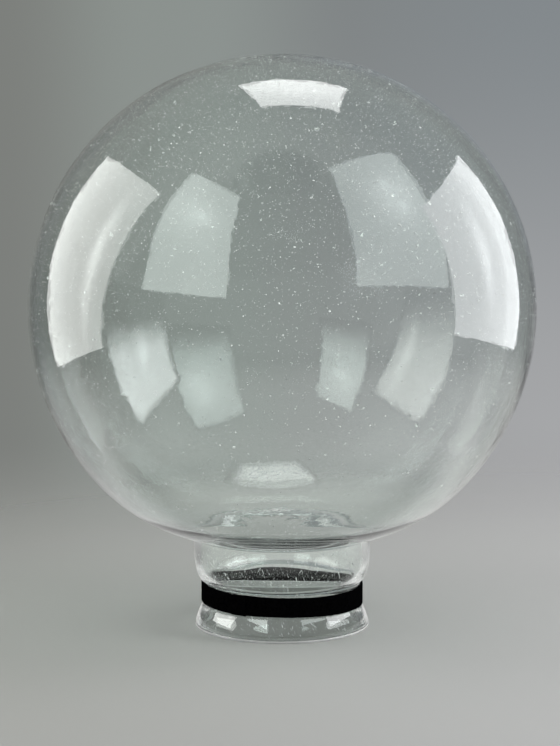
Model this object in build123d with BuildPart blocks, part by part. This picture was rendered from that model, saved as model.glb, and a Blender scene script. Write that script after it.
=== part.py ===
from build123d import *
import os
from math import acos, degrees

# A hollow blown-glass globe with an open neck, standing on the rim of that neck. The neck is
# drawn in to a groove all round, and a strip of black felt is wrapped round it in the groove.
# Millimetres. +Z up along the globe's axis, origin at the centre of the rim's resting face.
# Both outlines of the glass are drawn as (radius, height) in the XZ plane, crown to rim.

# ---- the ball --------------------------------------------------------------------------
globe_radius = 150.0        # outside of the ball
centre_height = 190.0       # centre of the ball above the rim's face
wall = 2.1                  # glass over the crown, the sides and the belly

# close to the neck the underside is flatter than the ball, and the glass is thicker
sag_start_radius = 108.0    # where the outside leaves the ball
inner_sag_start_radius = 98.0
shoulder_height = 55.0      # where the underside meets the neck, outside
throat_height = 59.4        # the same, inside
root_radius = 1.4           # tight corner between the underside and the neck, outside
throat_radius = 6.0         # well rounded corner, inside

# ---- the neck --------------------------------------------------------------------------
neck_radius = 52.8          # outside, just below the ball
neck_wall = 4.3
neck_foot_height = 49.0     # below this height the neck draws in towards the groove
inner_neck_foot_height = 42.4
groove_radius = 47.5        # floor of the groove
groove_wall = 3.7
groove_top = 27.0
groove_bottom = 13.4
inner_groove_top = 26.9
inner_groove_bottom = 13.5
rim_radius = 52.0           # the neck flares back out to this
rim_wall = 4.5
rim_land = 2.4              # short upright wall above the rim's face
rim_bevel = 0.4             # ground edges of the rim's face

# the flares above and below the groove are curves: each reach is how far the curve is drawn out
# along the upright, at its top and at its foot, and each lean how far sideways. The inside turns
# in lower and more gently than the outside, so the wall's thickness changes on the way
upper_flare_reach = (21.0, 1.0)
lower_flare_reach = (3.5, 4.0)
lower_flare_lean = (2.0, 1.3)
inner_upper_flare_reach = (11.4, 3.8)
inner_lower_flare_reach = (3.5, 3.5)
inner_lower_flare_lean = (0.0, 0.5)
upright = (0.0, 0.0)        # lean of the flares above the groove, upright at both ends

# ---- the felt strip --------------------------------------------------------------------
felt_width = 12.0
felt_thickness = 0.9
felt_bottom = 14.2
lap_angle = -121.0          # where the strip starts and its other end laps over it
lap_sweep = 11.0            # how much of the start the lap covers
ramp_sweep = 3.0            # the strip climbs over its own start in this angle


def ball_outline(radius, leave_radius):
    """Arc of the ball from the crown down to where the underside leaves it."""
    return CenterArc((0, centre_height), radius, 90, -90 - degrees(acos(leave_radius / radius)))


def flare(top, foot, reach, lean):
    """Curved stretch of the neck from top down to foot; reach and lean belong to (top, foot)."""
    side = 1 if foot[0] > top[0] else -1
    return Bezier(top, (top[0] + side * lean[0], top[1] - reach[0]),
                  (foot[0] - side * lean[1], foot[1] + reach[1]), foot)


def glass_outline(ball_radius, leave_radius, corner, radii, heights, upper_reach, lower_reach,
                  lower_lean):
    """One face of the glass, crown to rim. radii are the neck's, the groove's and the rim's,
    heights are the neck's foot and the groove's top and bottom."""
    neck, groove, rim = radii
    foot, top, bottom = heights
    ball = ball_outline(ball_radius, leave_radius)
    TangentArc(ball @ 1, corner, tangent=ball % 1)
    Line(corner, (neck, foot))
    flare((neck, foot), (groove, top), upper_reach, upright)
    Line((groove, top), (groove, bottom))
    flare((groove, bottom), (rim, rim_land), lower_reach, lower_lean)
    Line((rim, rim_land), (rim, 0))


outer_radii = (neck_radius, groove_radius, rim_radius)
inner_radii = (neck_radius - neck_wall, groove_radius - groove_wall, rim_radius - rim_wall)
outer_heights = (neck_foot_height, groove_top, groove_bottom)
inner_heights = (inner_neck_foot_height, inner_groove_top, inner_groove_bottom)
root = (neck_radius, shoulder_height)
throat = (inner_radii[0], throat_height)

# ---- glass globe: one blown piece, ball and neck together ------------------------------
with BuildPart() as glass_globe:
    with BuildSketch(Plane.XZ) as wall_section:
        with BuildLine():
            glass_outline(globe_radius, sag_start_radius, root, outer_radii, outer_heights,
                          upper_flare_reach, lower_flare_reach, lower_flare_lean)
            glass_outline(globe_radius - wall, inner_sag_start_radius, throat, inner_radii,
                          inner_heights, inner_upper_flare_reach, inner_lower_flare_reach,
                          inner_lower_flare_lean)
            Line((0, centre_height + globe_radius), (0, centre_height + globe_radius - wall))
            Line((inner_radii[2], 0), (rim_radius, 0))
        make_face()
        fillet(wall_section.vertices().sort_by_distance(root)[0], root_radius)
        fillet(wall_section.vertices().sort_by_distance(throat)[0], throat_radius)
        chamfer(wall_section.vertices().group_by(Axis.Y)[0], length=rim_bevel)
    revolve(axis=Axis.Z)

glass_globe.part.label = "glass_globe"


def ring_sector(inside, start, sweep):
    """Outline of one turn of the strip lying round the axis: start and sweep in degrees."""
    inner = CenterArc((0, 0), inside, start, sweep)
    outer = CenterArc((0, 0), inside + felt_thickness, start, sweep)
    Line(inner @ 0, outer @ 0)
    Line(inner @ 1, outer @ 1)
    return inner, outer


# ---- felt strip: once round the groove, with its end lapped over its start -------------
with BuildPart() as neck_band:
    with BuildSketch(Plane.XY.offset(felt_bottom)):
        with BuildLine():
            turn_inside, turn_outside = ring_sector(groove_radius, lap_angle, 360 - ramp_sweep)
        make_face()
        with BuildLine():
            lap_inside, lap_outside = ring_sector(groove_radius + felt_thickness, lap_angle, lap_sweep)
        make_face()
        with BuildLine():
            Polyline(turn_inside @ 1, turn_outside @ 1, lap_outside @ 0, lap_inside @ 0, close=True)
        make_face()
    extrude(amount=felt_width)

neck_band.part.label = "neck_band"

os.makedirs("parts", exist_ok=True)
export_step(glass_globe.part, "parts/glass_globe.step")
export_step(neck_band.part, "parts/neck_band.step")
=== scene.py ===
import math

import bmesh
import bpy
import numpy as np
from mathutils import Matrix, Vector


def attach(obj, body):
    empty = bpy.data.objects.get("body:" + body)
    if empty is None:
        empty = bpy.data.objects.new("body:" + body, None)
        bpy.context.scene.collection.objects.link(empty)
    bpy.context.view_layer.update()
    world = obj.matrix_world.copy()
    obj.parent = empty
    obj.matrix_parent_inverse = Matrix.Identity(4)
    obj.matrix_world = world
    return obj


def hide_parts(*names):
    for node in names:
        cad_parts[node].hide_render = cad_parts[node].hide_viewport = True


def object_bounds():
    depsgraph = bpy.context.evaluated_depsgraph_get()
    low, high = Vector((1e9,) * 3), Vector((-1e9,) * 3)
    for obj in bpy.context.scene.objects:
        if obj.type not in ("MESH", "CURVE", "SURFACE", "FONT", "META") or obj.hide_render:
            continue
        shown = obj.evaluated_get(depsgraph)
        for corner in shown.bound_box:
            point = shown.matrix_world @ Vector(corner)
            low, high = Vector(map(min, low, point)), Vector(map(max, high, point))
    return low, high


# Looks for a hollow seeded-glass globe on its own grooved neck, with a felt strip round the neck.
# Metres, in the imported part's frame: +Z up the globe's axis, the rim's resting face at z = 0.

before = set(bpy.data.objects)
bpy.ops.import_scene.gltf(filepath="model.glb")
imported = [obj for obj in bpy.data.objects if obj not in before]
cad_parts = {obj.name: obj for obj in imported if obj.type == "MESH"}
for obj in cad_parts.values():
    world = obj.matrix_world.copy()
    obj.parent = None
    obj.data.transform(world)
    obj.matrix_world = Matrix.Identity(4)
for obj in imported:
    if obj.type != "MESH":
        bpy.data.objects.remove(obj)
cad_low, cad_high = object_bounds()
MM = 0.001

# ---- sizes of the glass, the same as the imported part's --------------------------------------
BALL_FOOT = 40 * MM         # where the ball would end below, if it went on through the neck
BALL_RADIUS = (cad_high.z - cad_low.z - BALL_FOOT) / 2
BALL_CENTRE = cad_high.z - BALL_RADIUS
WALL = 2.1 * MM
SAG_START, INNER_SAG_START = 108 * MM, 98 * MM      # radius where the underside leaves the ball
SHOULDER, THROAT = 55 * MM, 59.4 * MM               # height where the underside meets the neck
ROOT_RADIUS, THROAT_RADIUS = 1.4 * MM, 6 * MM       # the rounded corner there
NECK_RADIUS, NECK_WALL = 52.8 * MM, 4.3 * MM
NECK_FOOT, INNER_NECK_FOOT = 49.0 * MM, 42.4 * MM
GROOVE_RADIUS, GROOVE_WALL = 47.5 * MM, 3.7 * MM
GROOVE_TOP, GROOVE_BOTTOM = 27.0 * MM, 13.4 * MM
INNER_GROOVE_TOP, INNER_GROOVE_BOTTOM = 26.9 * MM, 13.5 * MM
RIM_RADIUS, RIM_WALL, RIM_LAND = 52.0 * MM, 4.5 * MM, 2.4 * MM
RIM_BEVEL, GROUND_EDGE = 0.4 * MM, 1.4 * MM
# the flares' control points: how far down from the top and up from the foot, and how far sideways
UPPER_REACH, INNER_UPPER_REACH = (21.0 * MM, 1.0 * MM), (11.4 * MM, 3.8 * MM)
LOWER_REACH, INNER_LOWER_REACH = (3.5 * MM, 4.0 * MM), (3.5 * MM, 3.5 * MM)
LOWER_LEAN, INNER_LOWER_LEAN = (2.0 * MM, 1.3 * MM), (0.0, 0.5 * MM)

# ---- sizes of the felt strip ------------------------------------------------------------------
FELT_WIDTH, FELT_THICKNESS, FELT_BOTTOM = 12.0 * MM, 0.9 * MM, 14.2 * MM
FELT_START = math.radians(-126.5)       # where the strip starts
FELT_LAP = math.radians(11)             # how far its other end lies over the start
FELT_RAMP = math.radians(3)             # it climbs over the start in this angle
FELT_GAP, FELT_LAP_GAP = 0.08 * MM, 0.02 * MM       # air under the strip, and under the lap
FELT_EDGE = 0.28 * MM                   # its edges are rounded
FELT_TILT = 0.85 * MM                   # it sits a little askew in its groove

# ---- how finely things are divided --------------------------------------------------------
SEGMENTS = 256              # columns of faces round the axis
BALL_ROWS, SAG_ROWS, CORNER_ROWS, NECK_ROWS, FLARE_ROWS, GROOVE_ROWS = 84, 22, 8, 5, 20, 8
FELT_STEPS, FELT_FACE_POINTS, FELT_CORNER_POINTS = 900, 12, 4
PANEL_GRID = 9
COLUMNS = np.linspace(0, 2 * math.pi, SEGMENTS, endpoint=False)

# ---- the surface and the seeds ------------------------------------------------------------
# ripples of the glass: a slow one all over, and finer ones as wavelength and height on the neck,
# on the underside and on the ball, which blend into one another between these heights
SLOW_RIPPLE, SLOW_RIPPLE_HEIGHT = 110 * MM, 0.05 * MM
FINE_RIPPLES = [(24 * MM, (0.010 * MM, 0.004 * MM, 0.014 * MM)),
                (12 * MM, (0.004 * MM, 0.001 * MM, 0.004 * MM))]
RIPPLE_ZONES = [46 * MM, 54 * MM, 75 * MM, 130 * MM]
RIPPLE_FADE = 3 * MM                    # they fade in over this height above the rim
# the seeds: where they lie between the wall's faces, how their shape goes over from the ball's to
# the neck's, and how much longer than round they are (a gamma distribution's shape and scale)
SEED_DEPTHS = (0.3, 0.7)
PULLED_BELOW, PULLED_WITHIN = 95 * MM, 50 * MM
BALL_PULL, NECK_PULL = (1.5, 0.22), (2.0, 0.9)
NECK_SLANT = np.radians(24)

# ---- stage --------------------------------------------------------------------------------
CAMERA_PLACE, CAMERA_LENS = (0, -1.336, 0.323), 109.35
CAMERA_DOWN, CAMERA_TURN = 7.3, 0.053           # degrees below level, and to the left
# painted light and shade: the floor's colour is darker on the left and paler on the right
FLOOR_PAINTED_DIM_LEFT, FLOOR_PAINTED_LIT_RIGHT = (0.342, 0.346, 0.326), (0.405, 0.405, 0.405)
# painted shade: the floor's colour inside the neck
FLOOR_PAINTED_SHADE_IN_NECK = (0.21, 0.215, 0.205)
FLOOR_RADIUS, FLOOR_SIDES = 3, 96
# faces of glass that a ray has crossed: more than the first when it comes back from the far wall,
# more than the second when it has been through more than the globe's two walls
FROM_FAR_WALL, PAST_BOTH_WALLS = 3.5, 4.5
BELL_BASE = 2.718                       # the brighter spots of a panel fall off as a bell


# ---- small helpers ----------------------------------------------------------------------
def mesh_object(name, points, faces, materials=(), smooth=True):
    mesh = bpy.data.meshes.new(name)
    mesh.from_pydata([tuple(p) for p in points], [], [tuple(f) for f in faces])
    mesh.update()
    mesh.polygons.foreach_set("use_smooth", [smooth] * len(mesh.polygons))
    ob = bpy.data.objects.new(name, mesh)
    bpy.context.scene.collection.objects.link(ob)
    for m in materials:
        mesh.materials.append(m)
    return ob


def node_material(name):
    mat = bpy.data.materials.new(name)
    mat.use_nodes = True
    nt = mat.node_tree
    nt.nodes.clear()
    return mat, nt


def put(nt, value, socket):
    """A node's output is linked to the socket. A number, vector or colour goes on the socket."""
    if isinstance(value, bpy.types.NodeSocket):
        nt.links.new(value, socket)
    elif socket.type == "RGBA":
        socket.default_value = (*value, 1)
    else:
        socket.default_value = value


def add(nt, kind, **values):
    """A new node, with values for its inputs, whose names have underscores in place of spaces."""
    node = nt.nodes.new(kind)
    for name, value in values.items():
        put(nt, value, node.inputs[name.replace("_", " ")])
    return node


def maths(nt, operation, a, b=None):
    node = add(nt, "ShaderNodeMath")
    node.operation = operation
    put(nt, a, node.inputs[0])
    if b is not None:
        put(nt, b, node.inputs[1])
    return node.outputs[0]


def total(nt, *values):
    result = values[0]
    for value in values[1:]:
        result = maths(nt, "ADD", result, value)
    return result


def product(nt, *values):
    result = values[0]
    for value in values[1:]:
        result = maths(nt, "MULTIPLY", result, value)
    return result


def sum_of_squares(nt, a, b):
    return total(nt, product(nt, a, a), product(nt, b, b))


def smoothstep(nt, value, start, end, low=0.0, high=1.0):
    node = add(nt, "ShaderNodeMapRange", Value=value, From_Min=start, From_Max=end,
               To_Min=low, To_Max=high)
    node.interpolation_type = "SMOOTHSTEP"
    return node.outputs[0]


def mixed(nt, factor, a, b):
    """Colour a where the factor is 0, colour b where it is 1."""
    node = add(nt, "ShaderNodeMix")
    node.data_type = "RGBA"
    for i, value in ((0, factor), (6, a), (7, b)):
        put(nt, value, node.inputs[i])
    return node.outputs[2]


def mix_shader(nt, factor, first, second):
    """The first shader where the factor is 0, the second where it is 1."""
    mix = add(nt, "ShaderNodeMixShader")
    for i, value in enumerate((factor, first.outputs[0], second.outputs[0])):
        put(nt, value, mix.inputs[i])
    return mix


def coordinate(nt, kind):
    return add(nt, "ShaderNodeTexCoord").outputs[kind]


def axes(nt, vector):
    return add(nt, "ShaderNodeSeparateXYZ", Vector=vector).outputs


def crossed(nt):
    """How many faces of glass the ray has passed through."""
    return add(nt, "ShaderNodeLightPath").outputs["Transmission Depth"]


def surface(nt, shader):
    add(nt, "ShaderNodeOutputMaterial", Surface=shader.outputs[0])


# ---- outlines of the glass, crown to rim, as (radius, height) -------------------------------
def arc(centre, radius, start, end, count):
    a = np.linspace(start, end, count)
    return np.stack([centre[0] + radius * np.cos(a), centre[1] + radius * np.sin(a)], 1)


def bezier(a, b, c, d, count):
    t = np.linspace(0, 1, count)[:, None]
    a, b, c, d = (np.array(p) for p in (a, b, c, d))
    return a * (1 - t) ** 3 + 3 * b * t * (1 - t) ** 2 + 3 * c * t ** 2 * (1 - t) + d * t ** 3


def angle_of(point, centre):
    return math.atan2(point[1] - centre[1], point[0] - centre[0])


def glass_outline(ball, leave, shoulder, corner_radius, radii, heights, upper_reach, lower_reach,
                  lower_lean):
    """Rows of one face of the glass. Each stretch has the same number of rows on both faces."""
    neck, groove, rim = radii
    foot, groove_top, groove_bottom = heights
    leave_angle = -math.acos(leave / ball)
    start = np.array([leave, BALL_CENTRE + ball * math.sin(leave_angle)])
    ball_rows = arc((0, BALL_CENTRE), ball, math.pi / 2, leave_angle, BALL_ROWS)
    # the sagged underside: an arc that leaves the ball without a kink and runs to the corner
    inward = np.array([-math.cos(leave_angle), -math.sin(leave_angle)])
    run = np.array((neck, shoulder)) - start
    radius = run @ run / (2 * run @ inward)
    centre = start + inward * radius
    # the corner between the underside and the neck is rounded
    x = neck + corner_radius
    z = centre[1] - math.sqrt((radius + corner_radius) ** 2 - (x - centre[0]) ** 2)
    touch = centre + (np.array([x, z]) - centre) * radius / (radius + corner_radius)
    sag_rows = arc(centre, radius, angle_of(start, centre), angle_of(touch, centre), SAG_ROWS)
    corner_rows = arc((x, z), corner_radius, angle_of(touch, (x, z)), math.pi, CORNER_ROWS)
    neck_rows = np.linspace((neck, z), (neck, foot), NECK_ROWS)
    upper = bezier((neck, foot), (neck, foot - upper_reach[0]),
                   (groove, groove_top + upper_reach[1]), (groove, groove_top), FLARE_ROWS)
    floor = np.linspace((groove, groove_top), (groove, groove_bottom), GROOVE_ROWS)
    lower = bezier((groove, groove_bottom),
                   (groove + lower_lean[0], groove_bottom - lower_reach[0]),
                   (rim - lower_lean[1], RIM_LAND + lower_reach[1]), (rim, RIM_LAND), FLARE_ROWS)
    land = np.array([(rim, GROUND_EDGE), (rim, RIM_BEVEL)])
    # a stretch starts where the one before it ends, so its own first row is left out
    joined = [rows[1:] for rows in (sag_rows, corner_rows, neck_rows, upper, floor, lower)]
    return np.concatenate([ball_rows, *joined, land])


OUTER = glass_outline(
    ball=BALL_RADIUS, leave=SAG_START, shoulder=SHOULDER, corner_radius=ROOT_RADIUS,
    radii=(NECK_RADIUS, GROOVE_RADIUS, RIM_RADIUS),
    heights=(NECK_FOOT, GROOVE_TOP, GROOVE_BOTTOM),
    upper_reach=UPPER_REACH, lower_reach=LOWER_REACH, lower_lean=LOWER_LEAN)
INNER = glass_outline(
    ball=BALL_RADIUS - WALL, leave=INNER_SAG_START, shoulder=THROAT, corner_radius=THROAT_RADIUS,
    radii=(NECK_RADIUS - NECK_WALL, GROOVE_RADIUS - GROOVE_WALL, RIM_RADIUS - RIM_WALL),
    heights=(INNER_NECK_FOOT, INNER_GROOVE_TOP, INNER_GROOVE_BOTTOM),
    upper_reach=INNER_UPPER_REACH, lower_reach=INNER_LOWER_REACH, lower_lean=INNER_LOWER_LEAN)


# ---- the globe --------------------------------------------------------------------------------
def ripples(points, wavelength, height, seed, waves=24):
    """A smooth random height for each point: plane waves of about one wavelength, all ways."""
    rng = np.random.default_rng(seed)
    way = rng.normal(size=(waves, 3))
    way /= np.linalg.norm(way, axis=1)[:, None]
    size = 2 * math.pi / (wavelength * rng.uniform(0.7, 1.5, waves))
    phase = rng.uniform(0, 2 * math.pi, waves)
    return height * math.sqrt(2 / waves) * np.sin(points @ (way * size[:, None]).T + phase).sum(1)


def ripple_height(z, neck, under, ball):
    """One number on the neck, another on the underside and another on the ball."""
    return np.interp(z, RIPPLE_ZONES, [neck, under, under, ball])


def around_axis(r, z):
    """Each (r, z) turned round the axis: a row of points, or of directions, for each of them."""
    r, z = np.reshape(r, (-1, 1)), np.reshape(z, (-1, 1))
    grid = np.stack([r * np.cos(COLUMNS), r * np.sin(COLUMNS), z + 0 * COLUMNS], 2)
    return grid.reshape(-1, 3)


def turned(outline, seed):
    """Points of one face of the glass, a row for each outline point below the crown."""
    grid = around_axis(outline[1:, 0], outline[1:, 1])
    slope = np.gradient(outline, axis=0)[1:]
    normal = np.stack([-slope[:, 1], slope[:, 0]], 1) / np.linalg.norm(slope, axis=1)[:, None]
    out = around_axis(normal[:, 0], normal[:, 1])
    z = grid[:, 2]
    keep = np.clip((z - RIM_LAND) / RIPPLE_FADE, 0, 1)      # the ground rim stays true
    lift = ripples(grid, SLOW_RIPPLE, SLOW_RIPPLE_HEIGHT, seed)
    for i, (wavelength, heights) in enumerate(FINE_RIPPLES, 1):
        lift = lift + ripples(grid, wavelength, 1.0, seed + i) * ripple_height(z, *heights)
    return grid + out * (lift * keep)[:, None]


def make_glass(materials):
    """The whole globe as one closed wall: outside, rim face, inside. Slot 1 is the ground rim."""
    outer, inner = turned(OUTER, 11), turned(INNER, 41)
    rim_out, rim_in = RIM_RADIUS - RIM_BEVEL, RIM_RADIUS - RIM_WALL + RIM_BEVEL
    rings = [around_axis(r, 0.0) for r in (rim_out, (rim_out + rim_in) / 2, rim_in)]
    inner_rows = inner.reshape(-1, SEGMENTS, 3)[::-1].reshape(-1, 3)
    points = np.concatenate([outer, *rings, inner_rows])
    rows = len(points) // SEGMENTS
    outer_rows = len(outer) // SEGMENTS
    faces, slots = [], []
    for i in range(rows - 1):
        # ground: the foot of the outside, both bevels and the face between them
        ground = outer_rows - 2 <= i <= outer_rows + 2
        for j in range(SEGMENTS):
            k = (j + 1) % SEGMENTS
            faces.append((i * SEGMENTS + j, (i + 1) * SEGMENTS + j, (i + 1) * SEGMENTS + k,
                          i * SEGMENTS + k))
            slots.append(1 if ground else 0)
    crown_out, crown_in = len(points), len(points) + 1
    points = np.concatenate([points, [(0, 0, BALL_CENTRE + BALL_RADIUS)],
                             [(0, 0, BALL_CENTRE + BALL_RADIUS - WALL)]])
    last = (rows - 1) * SEGMENTS
    for j in range(SEGMENTS):
        k = (j + 1) % SEGMENTS
        faces.append((crown_out, j, k))
        faces.append((crown_in, last + k, last + j))
        slots += [0, 0]
    ob = mesh_object("seeded_glass_globe", points, faces, materials)
    ob.data.polygons.foreach_set("material_index", slots)
    return ob


# ---- seeds: air bubbles drawn out in the wall ------------------------------------------------
def icosphere(subdivisions):
    g = (1 + math.sqrt(5)) / 2
    points = [(-1, g, 0), (1, g, 0), (-1, -g, 0), (1, -g, 0), (0, -1, g), (0, 1, g), (0, -1, -g),
              (0, 1, -g), (g, 0, -1), (g, 0, 1), (-g, 0, -1), (-g, 0, 1)]
    faces = [(0, 11, 5), (0, 5, 1), (0, 1, 7), (0, 7, 10), (0, 10, 11), (1, 5, 9), (5, 11, 4),
             (11, 10, 2), (10, 7, 6), (7, 1, 8), (3, 9, 4), (3, 4, 2), (3, 2, 6), (3, 6, 8),
             (3, 8, 9), (4, 9, 5), (2, 4, 11), (6, 2, 10), (8, 6, 7), (9, 8, 1)]
    points = [np.array(p) / np.linalg.norm(p) for p in points]
    for _ in range(subdivisions):
        made, finer = {}, []

        def middle(a, b):
            key = (min(a, b), max(a, b))
            if key not in made:
                p = points[a] + points[b]
                points.append(p / np.linalg.norm(p))
                made[key] = len(points) - 1
            return made[key]

        for a, b, c in faces:
            ab, bc, ca = middle(a, b), middle(b, c), middle(c, a)
            finer += [(a, ab, ca), (b, bc, ab), (c, ca, bc), (ab, bc, ca)]
        faces = finer
    return np.array(points), np.array(faces)


def bubble_field(count, median, spread, largest, subdivisions, seed, rows, tail):
    """Bubbles scattered by area over a stretch of the wall's rows, as (points, faces).

    They thin out on the way down, to tail times as dense at the last row as at the first."""
    rng = np.random.default_rng(seed)
    outer, inner = OUTER[rows], INNER[rows]
    step = np.linalg.norm(np.diff(outer, axis=0), axis=1)
    weight = step * (outer[1:, 0] + outer[:-1, 0]) * np.linspace(1, tail, len(step))
    which = rng.choice(len(step), count, p=weight / weight.sum())
    along = rng.uniform(0, 1, count)[:, None]
    out_at = outer[which] * (1 - along) + outer[which + 1] * along
    in_at = inner[which] * (1 - along) + inner[which + 1] * along
    wall = np.linalg.norm(out_at - in_at, axis=1)
    depth = rng.uniform(*SEED_DEPTHS, count)[:, None]
    at = out_at * (1 - depth) + in_at * depth
    down = (outer[which + 1] - outer[which]) / step[which][:, None]
    turn = rng.uniform(0, 2 * math.pi, count)
    cos, sin, zero = np.cos(turn), np.sin(turn), np.zeros(count)
    centre = np.stack([at[:, 0] * cos, at[:, 0] * sin, at[:, 1]], 1)
    meridian = np.stack([down[:, 0] * cos, down[:, 0] * sin, down[:, 1]], 1)
    around = np.stack([-sin, cos, zero], 1)
    through = np.cross(meridian, around)
    # the neck's bubbles are pulled long and lean one way, the ball's are nearly round
    neck = np.clip((PULLED_BELOW - at[:, 1]) / PULLED_WITHIN, 0, 1)
    lean = rng.normal(0, 1, count) * (1.4 - 1.15 * neck) + NECK_SLANT * neck
    long_way = meridian * np.cos(lean)[:, None] + around * np.sin(lean)[:, None]
    short_way = np.cross(through, long_way)
    size = np.minimum(median * np.exp(rng.normal(0, spread, count)), largest)
    pull = 1 + rng.gamma(*BALL_PULL, count) + neck * rng.gamma(*NECK_PULL, count)
    flat = np.minimum(size * 0.8, wall * 0.2)
    ball_points, ball_faces = icosphere(subdivisions)
    x, y, z = ball_points.T
    points = (centre[:, None] + (long_way * (size * pull)[:, None])[:, None] * x[:, None]
              + (short_way * (size / np.sqrt(pull))[:, None])[:, None] * y[:, None]
              + (through * flat[:, None])[:, None] * z[:, None])
    # the skin faces into the bubble, away from the glass
    handed = np.einsum("ij,ij->i", np.cross(long_way, short_way), through) > 0
    faces = np.where(handed[:, None, None], ball_faces[:, ::-1], ball_faces)
    faces = faces + (np.arange(count) * len(ball_points))[:, None, None]
    return points.reshape(-1, 3), faces.reshape(-1, 3)


def make_seeds(name, material, fields):
    points, faces, base = [], [], 0
    for field in fields:
        p, f = bubble_field(*field)
        points.append(p)
        faces.append(f + base)
        base += len(p)
    return mesh_object(name, np.concatenate(points), np.concatenate(faces), [material])


# ---- felt strip -------------------------------------------------------------------------------
def felt_section():
    """The strip cut across: up the inner face, over the top edge, down the outer face and back."""
    soft, thick = FELT_EDGE, FELT_THICKNESS
    out, top = thick - soft, FELT_WIDTH - soft          # where the rounded edges start
    corner = np.linspace(0, math.pi / 2, FELT_CORNER_POINTS)
    up = np.linspace(soft, top, FELT_FACE_POINTS)
    section = [(0, z) for z in up[:-1]]
    section += [(soft - soft * math.cos(a), top + soft * math.sin(a)) for a in corner]
    section += [(out + soft * math.sin(a), top + soft * math.cos(a)) for a in corner]
    section += [(thick, z) for z in up[::-1][1:-1]]
    section += [(out + soft * math.cos(a), soft - soft * math.sin(a)) for a in corner]
    section += [(soft - soft * math.sin(a), soft - soft * math.cos(a)) for a in corner[:-1]]
    return np.array(section)


def make_felt(material):
    """One long strip laid round the groove, its far end lying over its near end."""
    turn = np.linspace(0, 2 * math.pi + FELT_LAP, FELT_STEPS)
    angle = FELT_START + turn
    climb = np.clip((turn - (2 * math.pi - FELT_RAMP)) / FELT_RAMP, 0, 1)
    climb = climb * climb * (3 - 2 * climb)
    inner_face = GROOVE_RADIUS + FELT_GAP + climb * (FELT_THICKNESS + FELT_LAP_GAP)
    section = felt_section()
    n = len(section)
    rng = np.random.default_rng(8)
    along = np.stack([angle * 48 * MM, 0 * angle, 0 * angle], 1)        # 48 mm from the axis
    lean = -FELT_TILT * np.cos(angle)
    width = 1 + 0.03 * np.cos(2 * angle) + 0.006 * ripples(along, 22 * MM, 1.0, 61)
    shift = 0.10 * MM * ripples(along, 70 * MM, 1.0, 62)
    radius = inner_face[:, None] + section[None, :, 0]
    height = (FELT_BOTTOM + FELT_WIDTH / 2 + lean + shift)[:, None] \
        + (section[None, :, 1] - FELT_WIDTH / 2) * width[:, None]
    grid = np.stack([radius * np.cos(angle)[:, None], radius * np.sin(angle)[:, None], height], 2)
    # the outer face is fuzzy, and so are the very edges
    fuzz = rng.normal(0, 0.035 * MM, radius.shape) * (section[None, :, 0] > 0.3 * FELT_THICKNESS)
    outward = np.stack([np.cos(angle), np.sin(angle), 0 * angle], 1)
    grid = grid + outward[:, None] * fuzz[:, :, None]
    edge = np.abs(section[:, 1] - FELT_WIDTH / 2) > FELT_WIDTH / 2 - 0.2 * MM
    grid[:, :, 2] += rng.normal(0, 0.05 * MM, radius.shape) * edge[None, :]
    faces = []
    for i in range(FELT_STEPS - 1):
        for j in range(n):
            k = (j + 1) % n
            faces.append((i * n + j, i * n + k, (i + 1) * n + k, (i + 1) * n + j))
    faces.append(tuple(range(n))[::-1])
    faces.append(tuple((FELT_STEPS - 1) * n + j for j in range(n)))
    ob = mesh_object("felt_strip", grid.reshape(-1, 3), faces, [material])
    bm = bmesh.new()
    bm.from_mesh(ob.data)
    bmesh.ops.recalc_face_normals(bm, faces=bm.faces)
    bm.to_mesh(ob.data)
    bm.free()
    return ob


# ---- materials --------------------------------------------------------------------------------
def lets_lamps_through(nt, shader, tint):
    """Rays from lamps pass straight through the wall, tinted, so the glass casts a light shadow."""
    clear = add(nt, "ShaderNodeBsdfTransparent", Color=tint)
    shadow_ray = add(nt, "ShaderNodeLightPath").outputs["Is Shadow Ray"]
    surface(nt, mix_shader(nt, shadow_ray, shader, clear))


def bumped(nt, glass, layers, fade=None):
    """Object-space noise bumps laid over one another: (scale, stretch along Z, height in metres).

    A fade is the height where they start to strengthen, the height where they are at full
    strength, and how strong they are below the first. Without one they are at full strength."""
    where = coordinate(nt, "Object")
    strength = 1.0
    if fade:
        strength = smoothstep(nt, axes(nt, where)[2], *fade, 1.0)
    normal = None
    for scale, stretch, height in layers:
        pull = add(nt, "ShaderNodeMapping", Vector=where, Scale=(scale, scale, scale / stretch))
        noise = add(nt, "ShaderNodeTexNoise", Vector=pull.outputs[0], Scale=1.0, Detail=1.0)
        bump = add(nt, "ShaderNodeBump", Strength=strength, Distance=height,
                   Height=noise.outputs["Fac"])
        if normal:
            put(nt, normal, bump.inputs["Normal"])
        normal = bump.outputs[0]
    put(nt, normal, glass.inputs["Normal"])


def glass_material(name, layers):
    mat, nt = node_material(name)
    # a clear coat on the flare below the strip makes the mirrored panels brighter there
    height_up = axes(nt, coordinate(nt, "Object"))[2]
    coat = smoothstep(nt, height_up, GROOVE_BOTTOM, GROOVE_BOTTOM - 1 * MM)
    glass = add(nt, "ShaderNodeBsdfPrincipled", Base_Color=(0.955, 0.985, 0.97), Roughness=0.0,
                IOR=1.5, Transmission_Weight=1.0, Coat_Weight=coat, Coat_Roughness=0.0,
                Coat_IOR=1.8)
    bumped(nt, glass, layers, (0.065, 0.11, 0.2))
    lets_lamps_through(nt, glass, (0.93, 0.95, 0.94))
    return mat


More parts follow.
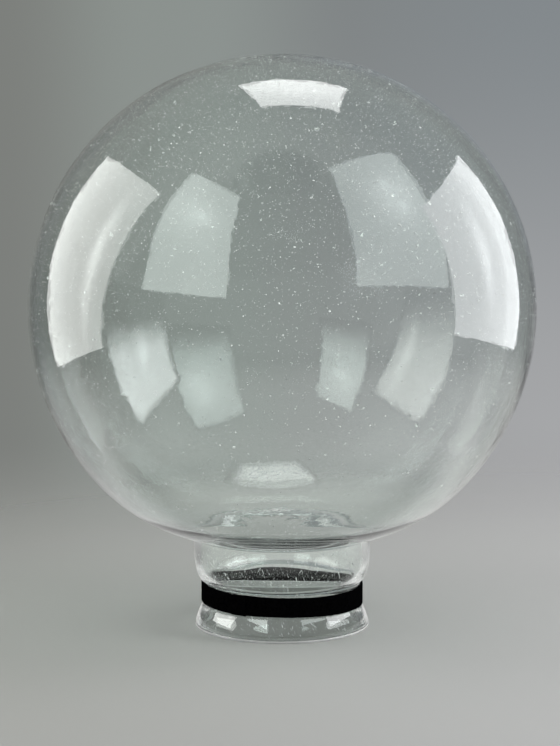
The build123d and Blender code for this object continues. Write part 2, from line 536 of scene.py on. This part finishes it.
def bubble_material():
    """Skin of a seed: clear, with a pale matt share as a painted glint that differs from one bubble
    to the next.
    """
    mat, nt = node_material("bubble_skin")
    glass = add(nt, "ShaderNodeBsdfPrincipled", Base_Color=(0.98, 0.99, 0.985), Roughness=0.0,
                IOR=1.5, Transmission_Weight=1.0)
    lit = add(nt, "ShaderNodeBsdfDiffuse", Color=(0.97, 0.99, 0.98))
    through = add(nt, "ShaderNodeBsdfTranslucent", Color=(0.97, 0.99, 0.98))
    # painted glint: a pale matt skin, lit by the lamps, stands in for the glints of the seeds
    painted_glint = mix_shader(nt, 0.4, lit, through)
    island = add(nt, "ShaderNodeNewGeometry").outputs["Random Per Island"]
    painted_glint_share = smoothstep(nt, island, 0.0, 1.0, 0.15, 0.8)
    lets_lamps_through(nt, mix_shader(nt, painted_glint_share, glass, painted_glint), (0.97, 0.98, 0.975))
    return mat


def rim_material():
    """Ground glass: it scatters light white, and the grinding shows as a fine grain."""
    mat, nt = node_material("ground_rim")
    glass = add(nt, "ShaderNodeBsdfPrincipled", Base_Color=(0.97, 0.98, 0.975), Roughness=0.4,
                IOR=1.5, Transmission_Weight=0.1)
    bumped(nt, glass, [(2500, 1, 0.00004)])
    lets_lamps_through(nt, glass, (0.8, 0.82, 0.81))
    return mat


def felt_material():
    """Matt and nearly black, with fine tufts that are a little paler and stand up a little."""
    mat, nt = node_material("black_felt")
    tuft = add(nt, "ShaderNodeTexNoise", Vector=coordinate(nt, "Object"), Scale=900.0, Detail=4.0)
    shade = add(nt, "ShaderNodeValToRGB", Fac=tuft.outputs["Fac"])
    dark, pale = shade.color_ramp.elements
    dark.position, dark.color = 0.35, (0.0004, 0.0004, 0.0005, 1)
    pale.position, pale.color = 0.75, (0.0035, 0.0035, 0.004, 1)
    bump = add(nt, "ShaderNodeBump", Distance=0.00025, Height=tuft.outputs["Fac"])
    felt = add(nt, "ShaderNodeBsdfPrincipled", Base_Color=shade.outputs["Color"], Roughness=0.95,
               Specular_IOR_Level=0.0, Normal=bump.outputs[0])
    surface(nt, felt)
    return mat


# ---- stage ------------------------------------------------------------------------------------
def reflected_only(nt, head_start=0):
    """1 for rays that have bounced off something, 0 for those that only came through glass.

    A backdrop counts one step more than a surface does: that is its head start."""
    path = add(nt, "ShaderNodeLightPath")
    gap = maths(nt, "SUBTRACT", path.outputs["Ray Depth"], path.outputs["Transmission Depth"])
    return maths(nt, "GREATER_THAN", gap, 0.5 + head_start)


def scattered_only(nt):
    """Bounced rays, and those that went through more than the globe's two walls, as a seed's do."""
    many = maths(nt, "GREATER_THAN", crossed(nt), PAST_BOTH_WALLS)
    return maths(nt, "MAXIMUM", reflected_only(nt), many)


def card_material(name, colour, strength, spots, foot):
    """A glowing card. Spots are (u, v, width, height, extra): brighter patches on it.

    Mirrored in the far wall its edges are soft. There its foot starts at the first number of foot
    and is full at the second, and it is the third number of times as bright."""
    mat, nt = node_material(name)
    u, v, _ = axes(nt, add(nt, "ShaderNodeUVMap").outputs[0])
    glows = []
    for middle_u, middle_v, wide, high, extra in spots:
        du = maths(nt, "DIVIDE", maths(nt, "SUBTRACT", u, middle_u), wide)
        dv = maths(nt, "DIVIDE", maths(nt, "SUBTRACT", v, middle_v), high)
        fall = product(nt, sum_of_squares(nt, du, dv), -1.0)
        glows.append(product(nt, maths(nt, "POWER", BELL_BASE, fall), extra))
    level = product(nt, total(nt, *glows, 1.0), strength)
    sides = product(nt, smoothstep(nt, u, 0.0, 0.10), smoothstep(nt, u, 1.0, 0.90))
    soft = product(nt, sides, smoothstep(nt, v, foot[0], foot[1], 0.0, foot[2]),
                   smoothstep(nt, v, 1.0, 0.90))
    far = maths(nt, "GREATER_THAN", crossed(nt), FROM_FAR_WALL)
    share = total(nt, product(nt, far, soft), maths(nt, "SUBTRACT", 1.0, far))
    glow = add(nt, "ShaderNodeEmission", Color=colour, Strength=product(nt, level, share))
    clear = add(nt, "ShaderNodeBsdfTransparent")
    backfacing = add(nt, "ShaderNodeNewGeometry").outputs["Backfacing"]
    shown = product(nt, scattered_only(nt), maths(nt, "SUBTRACT", 1.0, backfacing))
    surface(nt, mix_shader(nt, shown, clear, glow))
    return mat


def softbox(name, corners, **looks):
    """A glowing panel that only reflections see.

    Corners: near top, near bottom, far bottom, far top. Its U runs from the camera's side to the
    far side, its V from the bottom to the top."""
    near_top, near_bottom, far_bottom, far_top = (Vector(c) for c in corners)
    n = PANEL_GRID
    points, faces, uv = [], [], []
    for i in range(n):
        for j in range(n):
            u, v = i / (n - 1), j / (n - 1)
            points.append(near_bottom.lerp(far_bottom, u).lerp(near_top.lerp(far_top, u), v))
            uv.append((u, v))
    for i in range(n - 1):
        for j in range(n - 1):
            faces.append((i * n + j, (i + 1) * n + j, (i + 1) * n + j + 1, i * n + j + 1))
    ob = mesh_object(name, points, faces, [card_material(name, **looks)], False)
    layer = ob.data.uv_layers.new(name="UVMap")
    for loop in ob.data.loops:
        layer.data[loop.index].uv = uv[loop.vertex_index]
    face = ob.data.polygons[len(ob.data.polygons) // 2]
    if face.normal.dot(Vector((0, 0, BALL_CENTRE)) - face.center) < 0:
        ob.data.flip_normals()
    ob.visible_camera = False
    ob.visible_diffuse = False
    ob.visible_shadow = False


def make_floor():
    """A pale sheet that fades into the backdrop behind the globe."""
    mat, nt = node_material("pale_floor")
    x, y, _ = axes(nt, coordinate(nt, "Object"))
    from_axis = maths(nt, "SQRT", sum_of_squares(nt, x, y))
    # painted light and shade: darker on the left, paler on the right, as the lamps light the floor
    sheet = mixed(nt, smoothstep(nt, x, -0.3, 0.3), FLOOR_PAINTED_DIM_LEFT, FLOOR_PAINTED_LIT_RIGHT)
    # painted shade: the floor is painted darker inside the neck's ring
    colour = mixed(nt, smoothstep(nt, from_axis, 0.040, 0.052), FLOOR_PAINTED_SHADE_IN_NECK, sheet)
    paint = add(nt, "ShaderNodeBsdfDiffuse", Color=colour)
    # what the glass mirrors of it is a painted glow: painted shade inside the neck, pale round it,
    # and brightest in front, painted light where the panels would light it; the far wall mirrors a
    # dimmer stretch of it
    near_wall = maths(nt, "LESS_THAN", crossed(nt), FROM_FAR_WALL)
    lit = product(nt, smoothstep(nt, from_axis, 0.14, 0.25), smoothstep(nt, from_axis, 0.80, 0.35),
                  smoothstep(nt, y, 0.12, -0.05, 0.0, 0.72))
    before = product(nt, total(nt, lit, smoothstep(nt, y, 0.03, -0.06, 0.0, 0.05)), near_wall)
    behind = total(nt, smoothstep(nt, x, -0.3, 0.3, 0.28, 0.42),
                   smoothstep(nt, from_axis, 0.3, 0.1, 0.0, 0.25))
    behind = product(nt, behind, smoothstep(nt, y, -0.06, 0.03))
    outside_neck = smoothstep(nt, from_axis, 0.045, 0.06)
    painted_light_round_neck = product(nt, total(nt, before, behind, 0.08), outside_neck)
    mirrored = add(nt, "ShaderNodeEmission", Color=(1, 1, 0.985),
                   Strength=total(nt, painted_light_round_neck, 0.02))
    top = mix_shader(nt, reflected_only(nt), paint, mirrored)
    # it fades out round a place in front of the globe and to the right
    dx, dy = maths(nt, "SUBTRACT", x, 0.2), maths(nt, "SUBTRACT", y, -0.2)
    far = maths(nt, "SQRT", sum_of_squares(nt, dx, dy))
    clear = add(nt, "ShaderNodeBsdfTransparent")
    surface(nt, mix_shader(nt, smoothstep(nt, far, 0.36, 1.05), top, clear))
    points = []
    for i in range(FLOOR_SIDES):
        a = 2 * math.pi * i / FLOOR_SIDES
        points.append((FLOOR_RADIUS * math.cos(a), FLOOR_RADIUS * math.sin(a), 0))
    ob = mesh_object("floor", points, [tuple(range(FLOOR_SIDES))], [mat], False)


def make_world():
    """The backdrop that is looked at, and the dimmer room that the glass mirrors."""
    world = bpy.data.worlds.new("studio")
    bpy.context.scene.world = world
    world.use_nodes = True
    nt = world.node_tree
    nt.nodes.clear()
    x, y, z = axes(nt, coordinate(nt, "Generated"))
    right = smoothstep(nt, x, -0.11, 0.13)
    low = smoothstep(nt, z, 0.045, -0.17)
    paler = mixed(nt, low, (0.228, 0.25, 0.265), (0.385, 0.39, 0.40))
    plain = mixed(nt, right, (0.205, 0.214, 0.202), paler)
    glow = product(nt, smoothstep(nt, x, -0.125, -0.06), smoothstep(nt, x, 0.035, -0.035))
    looked_at = mixed(nt, product(nt, glow, 0.3), plain, (0.382, 0.443, 0.415))
    # mirrored: dim at the sides, the backdrop again straight behind, pale sheet below
    front = smoothstep(nt, y, 0.4, -0.5)
    sides = mixed(nt, smoothstep(nt, x, -0.5, 0.5), (0.095, 0.1, 0.097), (0.165, 0.175, 0.175))
    around = mixed(nt, front, sides, (0.27, 0.275, 0.272))
    behind = mixed(nt, smoothstep(nt, y, 0.86, 0.96), around, looked_at)
    below = mixed(nt, smoothstep(nt, z, -0.14, -0.44), behind, (0.42, 0.425, 0.41))
    # the far wall also mirrors a bright ceiling
    far_wall = maths(nt, "GREATER_THAN", crossed(nt), FROM_FAR_WALL)
    ceiling = product(nt, smoothstep(nt, z, 0.5, 0.8), smoothstep(nt, y, -0.5, 0.1), far_wall)
    lifted = mixed(nt, ceiling, below, (0.76, 0.79, 0.77))
    seen = add(nt, "ShaderNodeBackground", Color=looked_at)
    room = add(nt, "ShaderNodeBackground", Color=lifted)
    shown = mix_shader(nt, reflected_only(nt, 1), seen, room)
    add(nt, "ShaderNodeOutputWorld", Surface=shown.outputs[0])


def area_light(name, place, target, size, power):
    data = bpy.data.lights.new(name, "AREA")
    data.shape = "RECTANGLE"
    data.size, data.size_y = size
    data.energy = power
    ob = bpy.data.objects.new(name, data)
    bpy.context.scene.collection.objects.link(ob)
    ob.location = place
    ob.rotation_euler = (Vector(target) - Vector(place)).to_track_quat("-Z", "Y").to_euler()
    ob.visible_camera = False
    ob.visible_glossy = False
    ob.visible_transmission = False


def make_camera():
    data = bpy.data.cameras.new("camera")
    data.sensor_width = 36.0
    data.lens = CAMERA_LENS
    ob = bpy.data.objects.new("camera", data)
    bpy.context.scene.collection.objects.link(ob)
    ob.location = CAMERA_PLACE
    ob.rotation_euler = (math.radians(90 - CAMERA_DOWN), 0, math.radians(CAMERA_TURN))
    data.clip_start = 0.05
    bpy.context.scene.camera = ob


make_camera()
make_world()
make_floor()
# name, place, where it is aimed, width and depth, watts
for lamp in (("overhead", (0.2, 0.1, 2.2), (0, 0, 0), (2.0, 1.8), 15),
             ("front", (0.1, -2.2, 0.8), (0, 0, 0.03), (1.4, 0.6), 10),
             ("side_left", (-1.0, -0.1, 0.75), (0, 0, 0), (0.7, 0.9), 6),
             ("side_right", (1.0, -0.1, 0.75), (0, 0, 0), (0.7, 0.9), 12)):
    area_light(*lamp)

softbox("softbox_left",
        [(-0.38, -0.17, 0.57), (-0.38, -0.127, 0.12), (-0.38, 0.10, 0.08), (-0.38, 0.215, 0.50)],
        colour=(0.99, 1, 0.975), strength=2.95, foot=(0.12, 0.55, 1.1),
        spots=[(0.26, 0.45, 0.07, 0.30, 0.85)])
softbox("softbox_right",
        [(0.38, -0.14, 0.48), (0.38, -0.16, 0.15), (0.38, 0.13, 0.11), (0.38, 0.235, 0.50)],
        colour=(0.97, 0.98, 1), strength=3.05, foot=(0.22, 0.52, 1.75),
        spots=[(0.44, 0.45, 0.07, 0.25, 0.55), (0.75, 0.5, 0.05, 0.7, 0.15)])
softbox("softbox_inner_left",
        [(-0.266, -0.58, 0.96), (-0.211, -0.553, 0.288), (-0.313, -0.24, 0.257),
         (-0.415, -0.217, 0.839)],
        colour=(0.92, 1, 0.97), strength=3.0, foot=(0.0, 0.30, 1.0),
        spots=[(0.6, 0.5, 0.35, 0.22, 0.45), (0.55, 0.5, 0.12, 0.04, 0.4)])
softbox("softbox_inner_right",
        [(0.19, -0.285, 0.80), (0.25, -0.45, 0.31), (0.405, -0.18, 0.26), (0.458, -0.016, 0.846)],
        colour=(0.9, 0.98, 0.97), strength=2.2, foot=(0.02, 0.28, 1.2),
        spots=[(0.6, 0.5, 0.30, 0.22, 0.75), (0.55, 0.62, 0.05, 0.05, 0.5),
               (0.66, 0.42, 0.05, 0.04, 0.5)])
softbox("softbox_top",
        [(-0.07, 0.065, 0.84), (0.19, 0.09, 0.84), (0.20, 0.37, 0.84), (-0.134, 0.315, 0.84)],
        colour=(1, 1, 1), strength=3.4, foot=(0.0, 0.25, 1.0),
        spots=[(0.5, 0.5, 0.35, 0.35, 0.2)])

clear_glass = glass_material("seeded_glass", [(150, 1.5, 0.00003), (300, 1.2, 0.00002)])
globe = make_glass([clear_glass, rim_material()])
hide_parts("glass_globe")
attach(globe, "root")

# the ball's seeds thin out downwards, and there are many again in the neck
BALL = slice(2, BALL_ROWS + 8)
UPPER_BALL = slice(2, 76)
NECK = slice(BALL_ROWS + SAG_ROWS + CORNER_ROWS, len(OUTER) - 3)
skin = bubble_material()
# fields: how many, median size, its spread, largest size, subdivisions, seed, rows, tail
for name, fields in (
        ("seeds_dust", [(9800, 0.16 * MM, 0.25, 0.28 * MM, 0, 12, UPPER_BALL, 0.0)]),
        ("seeds_finest", [(9800, 0.18 * MM, 0.25, 0.30 * MM, 0, 9, BALL, 0.0)]),
        ("seeds_fine", [(9500, 0.22 * MM, 0.36, 0.42 * MM, 0, 3, BALL, 0.15)]),
        ("seeds_coarse", [(500, 0.38 * MM, 0.25, 0.7 * MM, 0, 4, BALL, 0.2),
                          (90, 0.70 * MM, 0.2, 1.1 * MM, 1, 7, BALL, 0.2),
                          (2600, 0.16 * MM, 0.35, 0.34 * MM, 0, 5, NECK, 1.0),
                          (260, 0.34 * MM, 0.25, 0.6 * MM, 1, 6, NECK, 1.0)])):
    seeds = make_seeds(name, skin, fields)
    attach(seeds, "root")

strip = make_felt(felt_material())
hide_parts("neck_band")
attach(strip, "root")

scene = bpy.context.scene
scene.view_settings.view_transform = "Standard"
scene.cycles.max_bounces = 24
scene.cycles.transmission_bounces = 24
scene.cycles.glossy_bounces = 12
scene.cycles.transparent_max_bounces = 32
